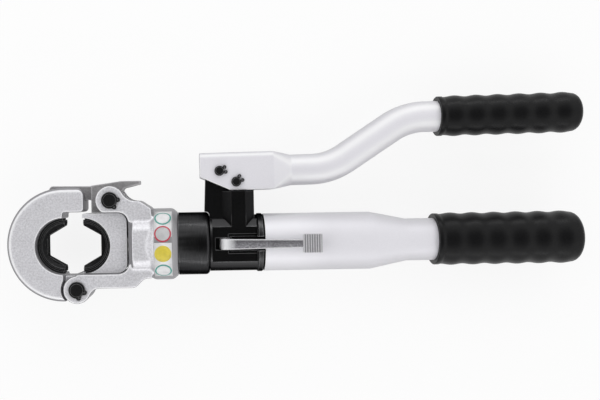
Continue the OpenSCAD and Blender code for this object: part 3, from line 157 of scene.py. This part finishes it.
class Shader:
    """One node material around a Principled shader, with textures in object space."""

    def __init__(self, name):
        self.material = bpy.data.materials.new(name)
        self.material.use_nodes = True
        self.tree = self.material.node_tree
        self.bsdf = self.tree.nodes["Principled BSDF"]
        self.coords = self.node("ShaderNodeTexCoord").outputs["Object"]

    def node(self, kind, **settings):
        made = self.tree.nodes.new(kind)
        for key, value in settings.items():
            setattr(made, key, value)
        return made

    def feed(self, socket, value):
        """Puts a number, a colour or another node's output into a socket."""
        if isinstance(value, bpy.types.NodeSocket):
            self.tree.links.new(value, socket)
        elif isinstance(value, (tuple, list)) and len(value) == 3 and socket.type == "RGBA":
            socket.default_value = (*value, 1.0)
        else:
            socket.default_value = value

    def set(self, **values):
        """Feeds sockets of the Principled shader, named with underscores for spaces."""
        for key, value in values.items():
            self.feed(self.bsdf.inputs[key.replace("_", " ")], value)

    def stretched(self, stretch):
        mapping = self.node("ShaderNodeMapping")
        self.feed(mapping.inputs["Vector"], self.coords)
        mapping.inputs["Scale"].default_value = stretch
        return mapping.outputs["Vector"]

    def noise(self, size, detail, stretch=(1, 1, 1), rough=0.5):
        """Noise whose blotches are about size metres across."""
        made = self.node("ShaderNodeTexNoise")
        self.feed(made.inputs["Vector"], self.stretched(stretch))
        made.inputs["Scale"].default_value = 1.0 / size
        made.inputs["Detail"].default_value = detail
        made.inputs["Roughness"].default_value = rough
        return made.outputs["Fac"]

    def ramp(self, factor, stops):
        """Colours or greys at places from 0 to 1, blended in between."""
        made = self.node("ShaderNodeValToRGB")
        self.feed(made.inputs["Fac"], factor)
        elements = made.color_ramp.elements
        while len(elements) < len(stops):
            elements.new(0.5)
        for element, (place, colour) in zip(elements, stops):
            element.position = place
            element.color = (*colour, 1.0) if isinstance(colour, tuple) else (colour,) * 3 + (1.0,)
        return made.outputs["Color"]

    def fade(self, factor, start, end):
        """1 before start, 0 after end."""
        return self.ramp(factor, [(start, 1.0), (end, 0.0)])

    def blend(self, factor, first, second):
        made = self.node("ShaderNodeMix", data_type="RGBA")
        colours = [s for s in made.inputs if s.type == "RGBA"]
        self.feed(made.inputs["Factor"], factor)
        self.feed(colours[0], first)
        self.feed(colours[1], second)
        return next(s for s in made.outputs if s.type == "RGBA")

    def span(self, value, low, high):
        """A texture's value moved from 0..1 to low..high."""
        made = self.node("ShaderNodeMapRange")
        self.feed(made.inputs["Value"], value)
        made.inputs["To Min"].default_value = low
        made.inputs["To Max"].default_value = high
        return made.outputs["Result"]

    def past(self, value, start, end):
        """0 before start, 1 after end."""
        made = self.node("ShaderNodeMapRange")
        self.feed(made.inputs["Value"], value)
        made.inputs["From Min"].default_value = start
        made.inputs["From Max"].default_value = end
        return made.outputs["Result"]

    def bump(self, height, depth, strength):
        made = self.node("ShaderNodeBump")
        made.inputs["Strength"].default_value = strength
        made.inputs["Distance"].default_value = depth
        self.feed(made.inputs["Height"], height)
        return made.outputs["Normal"]

    def along(self, axis):
        """Place along an axis of the tool."""
        split = self.node("ShaderNodeSeparateXYZ")
        self.feed(split.inputs[0], self.coords)
        return split.outputs[axis]

    def facing(self, axis):
        """1 on faces square to an axis of the tool, 0 on faces along it."""
        split = self.node("ShaderNodeSeparateXYZ")
        self.feed(split.inputs[0], self.node("ShaderNodeTexCoord").outputs["Normal"])
        size = self.node("ShaderNodeMath", operation="ABSOLUTE")
        self.feed(size.inputs[0], split.outputs[axis])
        return size.outputs[0]

    def edges(self, reach):
        """White on convex edges: there, rays sent inwards soon come out of another face."""
        inside = self.node("ShaderNodeAmbientOcclusion", samples=6, inside=True, only_local=True)
        inside.inputs["Distance"].default_value = reach
        return self.fade(inside.outputs["AO"], *EDGE_FADE)


def blasted_steel(name, colours, side_shade_fade=SIDE_SHADE_FADE, neck_x=None, turned_x=None):
    """Bead-blasted steel: a fine grain, painted highlights where a face turns over and on convex edges
    (there partly edge wear), and painted shade on its sides.

    Behind neck_x it has no painted highlight band and its painted side shade fades over other flatness,
    and behind turned_x it is turned, painted darker as a dark reflection.
    """
    dark, light, edge, side_shade = colours
    s = Shader(name)
    speckle = s.noise(1.4 * MM, detail=4.0, rough=0.65)
    cloud = s.noise(9 * MM, detail=3.0)
    base = s.ramp(speckle, [(0.34, dark), (0.66, light)])
    clouded = s.blend(s.span(cloud, 0.0, 0.4), base, light)
    flat = s.facing("Z")
    # Painted highlight band where a flat face starts to turn over
    highlight_band = s.ramp(flat, HIGHLIGHT_BAND_STOPS)
    # Painted shade on the sides, where a face stands along the tool's Z
    sides = s.fade(flat, *side_shade_fade)
    if neck_x is not None:
        neck = s.past(s.along("X"), *neck_x)
        highlight_band = s.blend(neck, highlight_band, NO_WEAR_OR_HIGHLIGHT)
        # Behind the neck, the painted side shade fades over other flatness
        sides = s.blend(neck, sides, s.fade(flat, *NECK_SHADE_FADE))
    band_highlit = s.blend(highlight_band, clouded, edge)
    # Painted highlight along convex edges, partly edge wear
    worn_and_lit = s.blend(s.edges(1.2 * MM), band_highlit, edge)
    # Painted shade: the sides take its darker colour
    side_shaded = s.blend(sides, worn_and_lit, side_shade)
    if turned_x is not None:
        # Turned collar: turned steel, painted darker as a dark reflection
        side_shaded = s.blend(s.past(s.along("X"), *turned_x), side_shaded, TURNED_STEEL_DARK_REFLECTION)
    s.set(Base_Color=side_shaded, Metallic=0.38, Roughness=s.span(cloud, 0.37, 0.49))
    s.set(Specular_Tint=BLASTED_RIM)
    s.set(Normal=s.bump(speckle, 0.05 * MM, 0.5))
    return s.material


def silver_paint(name, bright=0.0, painted_light_x=None):
    """Silver paint with fine flake, painted shade on its flanks and painted highlights along its edges.

    It has a painted highlight of the share bright where it turns over an edge, and is paler as painted
    light in front of the X place passed to it.
    """
    s = Shader(name)
    flake = s.noise(0.35 * MM, detail=1.0)
    peel = s.noise(2.2 * MM, detail=1.0)
    cloud = s.noise(40 * MM, detail=2.0)
    base = s.ramp(flake, [(0.3, PAINT_DARK), (0.7, PAINT_LIGHT)])
    tinted = s.blend(s.span(cloud, 0.0, 0.3), base, PAINT_CLOUD)
    if painted_light_x is not None:
        # Painted light: paler towards the pump block
        tinted = s.blend(s.past(s.along("X"), *painted_light_x), PAINTED_LIGHT_TINT, tinted)
    flat = s.facing("Z")
    # Painted highlight where the paint turns over an edge
    turns = s.ramp(flat, [(0.55, 0.0), (0.75, bright), (0.90, bright), (0.998, 0.0)])
    turned = s.blend(turns, tinted, PAINT_HIGHLIGHT_AND_WEAR)
    # Painted shade on the flanks
    flank_shaded = s.blend(s.ramp(flat, FLANK_SHADE_STOPS), turned, PAINT_FLANK_SHADE)
    # Painted highlight along convex edges, partly edge wear
    worn_and_lit = s.blend(s.edges(0.8 * MM), flank_shaded, PAINT_HIGHLIGHT_AND_WEAR)
    s.set(Base_Color=worn_and_lit, Metallic=0.08, Roughness=s.span(cloud, 0.40, 0.50))
    s.set(Normal=s.bump(peel, 0.03 * MM, 0.35), Specular_IOR_Level=0.35)
    return s.material


def turned_black():
    """Black oxide on a turned cylinder: streaks run round it, in uneven bands along its length."""
    s = Shader("turned_black")
    fine = s.noise(6 * MM, detail=4.0, stretch=(26, 1, 1), rough=0.7)
    band = s.noise(30 * MM, detail=2.0, stretch=(5, 1, 1))
    base = s.ramp(fine, [(0.3, TURNED_DARK), (0.55, TURNED_MID), (0.8, TURNED_LIGHT)])
    # Painted highlight along convex edges, partly edge wear
    worn_and_lit = s.blend(s.edges(0.6 * MM), base, TURNED_EDGE)
    s.set(Base_Color=worn_and_lit, Metallic=1.0, Roughness=s.span(band, 0.22, 0.36), Specular_Tint=DULL_RIM)
    s.set(Normal=s.bump(fine, 0.02 * MM, 0.35))
    return s.material


def block_black():
    """Semi-matt black of the machined pump block, with a painted reflection on its slopes towards the
    side lamps and painted highlights along its edges, partly edge wear.
    """
    s = Shader("block_black")
    grain = s.noise(0.6 * MM, detail=3.0)
    cloud = s.noise(18 * MM, detail=3.0)
    base = s.ramp(grain, [(0.3, BLOCK_DARK), (0.7, BLOCK_LIGHT)])
    # Painted reflection of the side lamps on slopes that face the tool's Y
    slopes = s.ramp(s.facing("Y"), [(0.35, 0.0), (0.6, 1.0), (0.8, 1.0), (0.95, 0.0)])
    reflection_painted = s.blend(slopes, base, BLOCK_PAINTED_REFLECTION)
    # Painted highlight along edges, partly edge wear: none on the front flange, weaker up the boss
    edge_wear_and_highlight = s.blend(s.past(s.along("X"), *FLANGE_X), NO_WEAR_OR_HIGHLIGHT, s.edges(0.5 * MM))
    weaker_on_boss = s.span(s.past(s.along("Y"), *BOSS_Y), 0.0, 0.8)
    worn_and_lit = s.blend(s.blend(weaker_on_boss, edge_wear_and_highlight, NO_WEAR_OR_HIGHLIGHT), reflection_painted, BLOCK_EDGE)
    s.set(Base_Color=worn_and_lit, Metallic=1.0, Roughness=s.span(cloud, 0.30, 0.40), Specular_Tint=DULL_RIM)
    s.set(Normal=s.bump(grain, 0.03 * MM, 0.4))
    return s.material


def black_oxide():
    """Oiled black oxide of dies, pins and rings."""
    s = Shader("black_oxide")
    grain = s.noise(0.5 * MM, detail=3.0)
    cloud = s.noise(7 * MM, detail=2.0)
    base = s.ramp(grain, [(0.3, OXIDE_DARK), (0.7, OXIDE_LIGHT)])
    # Painted highlight along convex edges, partly edge wear
    worn_and_lit = s.blend(s.edges(0.5 * MM), base, OXIDE_EDGE)
    s.set(Base_Color=worn_and_lit, Metallic=1.0, Roughness=s.span(cloud, 0.36, 0.5), Specular_Tint=DULL_RIM)
    s.set(Normal=s.bump(grain, 0.03 * MM, 0.4))
    return s.material


def lever_steel():
    """Pressed sheet steel, grained along the lever, with a painted highlight on its bend and on its
    pad's ridges, and sheared edges made bright, partly as a painted highlight.
    """
    s = Shader("lever_steel")
    grain = s.noise(0.6 * MM, detail=4.0, stretch=(0.5, 1, 1), rough=0.7)
    base = s.ramp(grain, [(0.36, LEVER_DARK), (0.5, LEVER_MID), (0.64, LEVER_LIGHT)])
    across = s.past(s.along("Y"), *LEVER_Y)
    shaded = s.blend(s.ramp(across, [(0.2, 0.0), (0.85, 0.7)]), base, LEVER_SHADE)
    # Painted highlight on the bend
    bend_highlit = s.blend(s.past(s.along("X"), *BEND_X), LEVER_BEND_HIGHLIGHT, shaded)
    # Sheared edges, bright in part as a painted highlight
    worn_and_lit = s.blend(s.edges(1.1 * MM), bend_highlit, LEVER_EDGE)
    # Painted highlights on the crests of the pad's ridges
    ridge_highlights = s.blend(s.edges(0.5 * MM), PAD_FACE, PAD_RIDGE_HIGHLIGHT)
    padded = s.blend(s.past(s.along("X"), *PAD_X), worn_and_lit, ridge_highlights)
    s.set(Base_Color=padded, Metallic=0.15, Roughness=s.span(grain, 0.36, 0.5))
    s.set(Normal=s.bump(grain, 0.05 * MM, 0.5))
    return s.material


def rubber(name, dark, light, rough, grain):
    """Moulded rubber with a fine spark-eroded grain."""
    s = Shader(name)
    spark = s.noise(grain, detail=3.0)
    cloud = s.noise(25 * MM, detail=2.0)
    base = s.ramp(spark, [(0.3, dark), (0.7, light)])
    s.set(Base_Color=base, Roughness=s.span(cloud, rough - 0.06, rough + 0.06), Specular_IOR_Level=0.14)
    s.set(Normal=s.bump(spark, 0.06 * MM, 0.5))
    return s.material


def lined(name, dark, light, rough, stretch=(1, 1, 1), metal=1.0):
    """Turned, drawn or moulded inner pieces, with fine lines."""
    s = Shader(name)
    lines = s.noise(0.8 * MM, detail=3.0, stretch=stretch)
    base = s.ramp(lines, [(0.3, dark), (0.7, light)])
    s.set(Base_Color=base, Metallic=metal, Roughness=s.span(lines, rough - 0.05, rough + 0.08))
    s.set(Normal=s.bump(lines, 0.02 * MM, 0.3))
    return s.material


def label_film(name, colour):
    """Printed film of the collar's blank labels, a little soiled."""
    s = Shader(name)
    soil = s.noise(5 * MM, detail=4.0)
    dull = tuple(0.86 * part for part in colour)
    s.set(Base_Color=s.ramp(soil, [(0.35, dull), (0.6, colour)]), Roughness=s.span(soil, 0.3, 0.42))
    return s.material


# Material of each slot in the record
MATERIALS = {
    "satin_steel": blasted_steel("blasted_steel", BLASTED),
    "silver_paint": silver_paint("silver_paint", painted_light_x=PAINTED_LIGHT_X),
    "black_body": block_black(),
    "black_oxide": black_oxide(),
    "bright_steel": lined("bright_steel", (0.42, 0.42, 0.43), (0.6, 0.6, 0.61), 0.28, (1, 8, 1)),
    "grip_rubber": rubber("grip_rubber", (0.004, 0.004, 0.0044), (0.010, 0.010, 0.0107), 0.35, 0.5 * MM),
    "seal_rubber": rubber("seal_rubber", (0.010, 0.010, 0.011), (0.02, 0.02, 0.021), 0.4, 0.8 * MM),
    "bush_bronze": lined("bush_bronze", (0.42, 0.27, 0.11), (0.62, 0.44, 0.2), 0.32, (8, 1, 1)),
    "spring_steel": lined("spring_steel", (0.16, 0.16, 0.17), (0.3, 0.3, 0.31), 0.3),
    "backup_plastic": lined("backup_plastic", (0.6, 0.57, 0.48), (0.72, 0.69, 0.6), 0.45, metal=0.0),
}
# Nodes with a finish of their own
OWN_MATERIAL = {
    "head_fork": blasted_steel("fork_steel", BLASTED, RIM_SHADE_FADE, neck_x=NECK_X, turned_x=COLLAR_X),
    "hook_jaw": blasted_steel("hook_steel", BLASTED, RIM_SHADE_FADE),
    "latch": blasted_steel("latch_steel", BLASTED_LATCH),
    "ram_cylinder": turned_black(),
    "pump_handle": silver_paint("handle_paint", bright=0.7),
    "release_lever": lever_steel(),
}


# Dressing of the CAD nodes

WELD_REACH = 0.002 * MM
BEVEL_STEPS = 2
BEVEL_FROM = math.radians(33)
# Width of the bevel on each node's edges
BEVELS = {
    "latch": 0.5 * MM,
    "die_carrier": 0.5 * MM,
    "fixed_die": 0.25 * MM,
    "moving_die": 0.25 * MM,
    "pump_block": 0.25 * MM,
    "release_lever": 0.45 * MM,
    "ram_cylinder": 0.3 * MM,
    "head_retaining_rings": 0.12 * MM,
    "hook_pin": 0.4 * MM,
    "latch_pin": 0.4 * MM,
    "handle_pivot_pin": 0.25 * MM,
    "handle_drive_pin": 0.25 * MM,
    "handle_retaining_rings": 0.1 * MM,
    "pump_plunger": 0.4 * MM,
}
# Nodes with softened edges: grain of the new skin, and rounds of smoothing
SOFT = {"head_fork": (0.6 * MM, 34), "hook_jaw": (0.6 * MM, 12), "pump_handle": (0.5 * MM, 2)}


def weld(obj):
    made = obj.modifiers.new("weld", "WELD")
    made.merge_threshold = WELD_REACH


def bevel(obj, width):
    made = obj.modifiers.new("bevel", "BEVEL")
    made.width = width
    made.segments = BEVEL_STEPS
    made.limit_method = "ANGLE"
    made.angle_limit = BEVEL_FROM
    made.use_clamp_overlap = True
    made.harden_normals = True


def soften(obj, voxel, rounds):
    """Rounds every edge a little, as casting and blasting leave them."""
    made = obj.modifiers.new("cast", "REMESH")
    made.mode = "VOXEL"
    made.voxel_size = voxel
    made.use_smooth_shade = True
    smooth = obj.modifiers.new("blend", "SMOOTH")
    smooth.factor = 0.5
    smooth.iterations = rounds


def dress_nodes():
    for part in frame["record"]["subparts"]:
        name = part["node"]
        obj = nodes[name]
        obj.data.materials.clear()
        obj.data.materials.append(OWN_MATERIAL.get(name, MATERIALS[part["material_slot"]]))
        weld(obj)
        if name in BEVELS:
            bevel(obj, BEVELS[name])
        if name in SOFT:
            soften(obj, *SOFT[name])


# Springs that shorten as a joint moves: body, joint, axis, travel,
# and the corner of the box (0 low, 1 high) at the end that stays with the body
SPRINGS = {
    "return_spring": ("ram", "ram_slide", 0, 14.3 * MM, 1),
    "release_valve_spring": ("pump", "release_tilt", 2, 0.65 * MM, 0),
}


def live_springs():
    """Puts a copy in the place of each such spring, hung on its body."""
    for name, (body, joint, axis, travel, end) in SPRINGS.items():
        piece = bpy.data.objects.new(name + "_coil", nodes[name].data.copy())
        bpy.context.scene.collection.objects.link(piece)
        weld(piece)
        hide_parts(name)
        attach(piece, body)
        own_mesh(piece)


# Blank labels on the collar: span along the tool, radius, thickness, and arcs round it in degrees

LABEL_X = (69.8 * MM, 83.2 * MM)
LABEL_R = 27.82 * MM
LABEL_T = 0.12 * MM
LABEL_ARCS = {"label_upper": (14.0, 65.0), "label_lower": (-59.0, 4.5)}
LABEL_STEPS = 24
WHITE_FILM = label_film("white_film", (0.90, 0.90, 0.91))
TEAL_FILM = label_film("teal_film", (0.10, 0.42, 0.36))
RED_FILM = label_film("red_film", (0.62, 0.06, 0.10))
YELLOW_FILM = label_film("yellow_film", (0.80, 0.66, 0.08))
GREY_FILM = label_film("grey_film", (0.62, 0.62, 0.63))
# Plain round marks on them: angle of each round the collar, films of its ring and of its field
MARKS = {
    "mark_a": (47.0, TEAL_FILM, WHITE_FILM),
    "mark_b": (18.5, RED_FILM, GREY_FILM),
    "mark_c": (-13.0, YELLOW_FILM, YELLOW_FILM),
    "mark_d": (-44.0, TEAL_FILM, WHITE_FILM),
}
MARK_X = 76.4 * MM
MARK_R = 6.4 * MM
MARK_LINE = 1.1 * MM
MARK_STEPS = 40
MARK_RINGS = 6


def film(name, points, faces, material):
    """Thin film on the collar."""
    mesh = bpy.data.meshes.new(name)
    mesh.from_pydata(points, [], faces)
    mesh.shade_smooth()
    made = bpy.data.objects.new(name, mesh)
    bpy.context.scene.collection.objects.link(made)
    thick = made.modifiers.new("thickness", "SOLIDIFY")
    thick.thickness = LABEL_T
    thick.offset = 1.0
    mesh.materials.append(material)
    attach(made, "head")


def on_collar(x, angle, radius):
    """Place on the collar at an angle, counted from the viewer's side towards +Y."""
    return (x, radius * math.sin(angle), radius * math.cos(angle))


def curved_strip(name, arc, radius, material):
    start, end = arc
    angles = [math.radians(start + (end - start) * i / LABEL_STEPS) for i in range(LABEL_STEPS + 1)]
    points = [on_collar(x, angle, radius) for angle in angles for x in LABEL_X]
    faces = [(2 * i, 2 * i + 1, 2 * i + 3, 2 * i + 2) for i in range(LABEL_STEPS)]
    film(name, points, faces, material)


def curved_disc(name, angle, size, radius, material):
    """Disc bent round the collar: a point in the middle and rings of points about it."""
    turns = [2 * math.pi * i / MARK_STEPS for i in range(MARK_STEPS)]
    reaches = [size * (k + 1) / MARK_RINGS for k in range(MARK_RINGS)]
    centre = math.radians(angle)
    points = [on_collar(MARK_X, centre, radius)]
    points += [on_collar(MARK_X + reach * math.cos(t), centre + reach * math.sin(t) / radius, radius)
               for reach in reaches for t in turns]
    sides = [(i, (i + 1) % MARK_STEPS) for i in range(MARK_STEPS)]
    faces = [(0, 1 + i, 1 + j) for i, j in sides]
    for k in range(MARK_RINGS - 1):
        inner = 1 + k * MARK_STEPS
        outer = inner + MARK_STEPS
        faces += [(inner + i, outer + i, outer + j, inner + j) for i, j in sides]
    film(name, points, faces, material)


def blank_labels():
    for name, arc in LABEL_ARCS.items():
        curved_strip(name, arc, LABEL_R, WHITE_FILM)
    for name, (angle, ring, field) in MARKS.items():
        curved_disc(name + "_ring", angle, MARK_R, LABEL_R + LABEL_T, ring)
        curved_disc(name + "_field", angle, MARK_R - MARK_LINE, LABEL_R + 2 * LABEL_T, field)


# Stage, light and camera

# Share of its own white in the stage, its grey as it lights the tool, its white as it is seen
STAGE_GLOW = 0.87
STAGE_GREY = (0.3, 0.3, 0.3)
STAGE_WHITE = (0.95, 0.95, 0.95)
# Floor and wall, in metres
STAGE_CENTRE = (0.15, 0.03)
STAGE_R = 4.0
STAGE_STEPS = 96
WALL_H = 1.2
FLOOR_GAP = 0.3 * MM
# Brightness of the studio from the horizon up: a bright ring half-way, dark overhead
SKY_STOPS = [(0.0, 0.2), (0.2, 0.4), (0.4, 1.1), (0.6, 1.5), (0.75, 1.05), (0.87, 0.28), (1.0, 0.06)]
# Long strip lamps on both sides of the tool: place in metres and power in watts
LAMPS = {"key": ((0.17, 0.84, 0.26), 2.2), "fill": ((0.17, -0.78, 0.26), 1.6)}
LAMP_SIZE = (1.3, 0.08)
LAMP_TARGET = (0.17, 0.03, 0.0)


def pale_stage():
    """Stage paint that glows a little to the camera and to mirrors, so that shadows stay faint."""
    s = Shader("pale_stage")
    path = s.node("ShaderNodeLightPath")
    seen = path.outputs["Is Camera Ray"]
    for kind in ("Is Glossy Ray", "Is Transmission Ray"):
        either = s.node("ShaderNodeMath", operation="MAXIMUM")
        s.feed(either.inputs[0], seen)
        s.feed(either.inputs[1], path.outputs[kind])
        seen = either.outputs[0]
    share = s.node("ShaderNodeMath", operation="MULTIPLY")
    s.feed(share.inputs[0], seen)
    share.inputs[1].default_value = STAGE_GLOW
    glow = s.node("ShaderNodeEmission")
    glow.inputs["Color"].default_value = (1, 1, 1, 1)
    mix = s.node("ShaderNodeMixShader")
    s.set(Base_Color=s.blend(seen, STAGE_GREY, STAGE_WHITE), Roughness=0.8)
    s.feed(mix.inputs[0], share.outputs[0])
    s.feed(mix.inputs[1], s.bsdf.outputs[0])
    s.feed(mix.inputs[2], glow.outputs[0])
    s.feed(s.tree.nodes["Material Output"].inputs["Surface"], mix.outputs[0])
    return s.material


def stage():
    """Round floor under the tool, with a low wall about it."""
    paint = pale_stage()
    ground = cad_box[0][2] - FLOOR_GAP
    bpy.ops.mesh.primitive_circle_add(vertices=STAGE_STEPS, radius=STAGE_R, fill_type="NGON",
                                      location=(*STAGE_CENTRE, ground))
    bpy.context.object.name = "floor"
    bpy.ops.mesh.primitive_cylinder_add(vertices=STAGE_STEPS, radius=STAGE_R, depth=WALL_H,
                                        end_fill_type="NOTHING",
                                        location=(*STAGE_CENTRE, ground + WALL_H / 2))
    bpy.context.object.name = "wall"
    for name in ("floor", "wall"):
        piece = bpy.data.objects[name]
        piece.data.materials.append(paint)


def sky():
    world = bpy.data.worlds.new("studio")
    bpy.context.scene.world = world
    world.use_nodes = True
    tree = world.node_tree
    coords = tree.nodes.new("ShaderNodeTexCoord")
    split = tree.nodes.new("ShaderNodeSeparateXYZ")
    tree.links.new(coords.outputs["Generated"], split.inputs[0])
    ramp = tree.nodes.new("ShaderNodeValToRGB")
    elements = ramp.color_ramp.elements
    while len(elements) < len(SKY_STOPS):
        elements.new(1.0)
    for element, (place, grey) in zip(elements, SKY_STOPS):
        element.position = place
        element.color = (grey, grey, grey, 1)
    tree.links.new(split.outputs["Z"], ramp.inputs["Fac"])
    tree.links.new(ramp.outputs["Color"], tree.nodes["Background"].inputs["Color"])


def strip_lamp(name, place, power):
    light = bpy.data.lights.new(name, "AREA")
    light.shape = "RECTANGLE"
    light.size, light.size_y = LAMP_SIZE
    light.energy = power
    lamp = bpy.data.objects.new(name, light)
    lamp.location = place
    lamp.rotation_euler = (Vector(LAMP_TARGET) - Vector(place)).to_track_quat("-Z", "Y").to_euler()
    bpy.context.scene.collection.objects.link(lamp)


def photo_point(pixel):
    """Place on the tool's mid-plane that a pixel of the photograph shows."""
    right = pixel[0] - ORIGIN_PIXEL[0]
    up = ORIGIN_PIXEL[1] - pixel[1]
    cos, sin = math.cos(AXIS_ROLL), math.sin(AXIS_ROLL)
    scale = MM_PER_PIXEL * MM
    return Vector(((right * cos + up * sin) * scale, (up * cos - right * sin) * scale, 0))


def photo_camera():
    """Camera straight over one pixel of the photograph, shifted to show all of it."""
    data = bpy.data.cameras.new("photo_camera")
    data.sensor_width = SENSOR
    data.lens = VIEW_DISTANCE / MM_PER_PIXEL / IMAGE_W * SENSOR
    data.shift_x = 0.5 - VIEW_PIXEL[0] / IMAGE_W
    camera = bpy.data.objects.new("photo_camera", data)
    camera.location = photo_point(VIEW_PIXEL) + Vector((0, 0, VIEW_DISTANCE * MM))
    camera.rotation_euler = (0, 0, -AXIS_ROLL)
    bpy.context.scene.collection.objects.link(camera)
    bpy.context.scene.camera = camera


dress_nodes()
live_springs()
blank_labels()
stage()
sky()
for lamp_name, (lamp_place, lamp_power) in LAMPS.items():
    strip_lamp(lamp_name, lamp_place, lamp_power)
photo_camera()
bpy.context.scene.view_settings.view_transform = "Standard"
